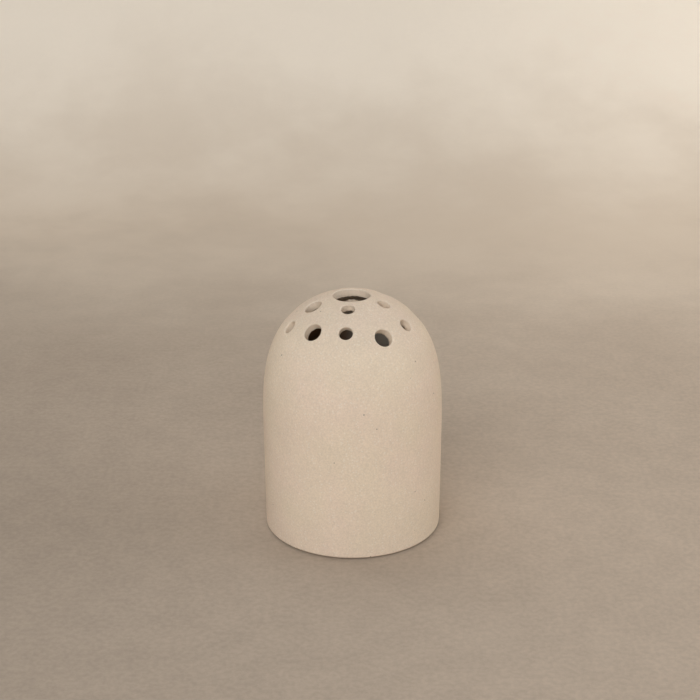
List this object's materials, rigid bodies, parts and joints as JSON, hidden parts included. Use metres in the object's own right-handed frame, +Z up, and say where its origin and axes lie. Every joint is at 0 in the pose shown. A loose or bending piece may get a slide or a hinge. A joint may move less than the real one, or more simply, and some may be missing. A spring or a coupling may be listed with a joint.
{
  "type": "flower frog",
  "caption": "Tall domed stoneware flower frog with a flat foot, a wide top mouth and two rings of slanted stem holes.",
  "frame": {"origin": "centre of the foot, on the surface that the pot stands on", "axes": "+Z up along the pot's axis. -Y is the front, within 7 degrees of the small lower hole that is bored flatter than the others"},
  "size_m": [0.08, 0.08, 0.109],
  "materials": {
    "wall_clay": "matte unglazed, sandy",
    "dome_clay": "matte unglazed, sandy",
    "base_clay": "matte unglazed",
    "liner": "satin gloss glaze"
  },
  "bodies": {
    "root": {"cylinder_wall": "wall_clay", "pierced_dome": "dome_clay", "base_slab": "base_clay", "liner_glaze": "liner"}
  },
  "joints": []
}
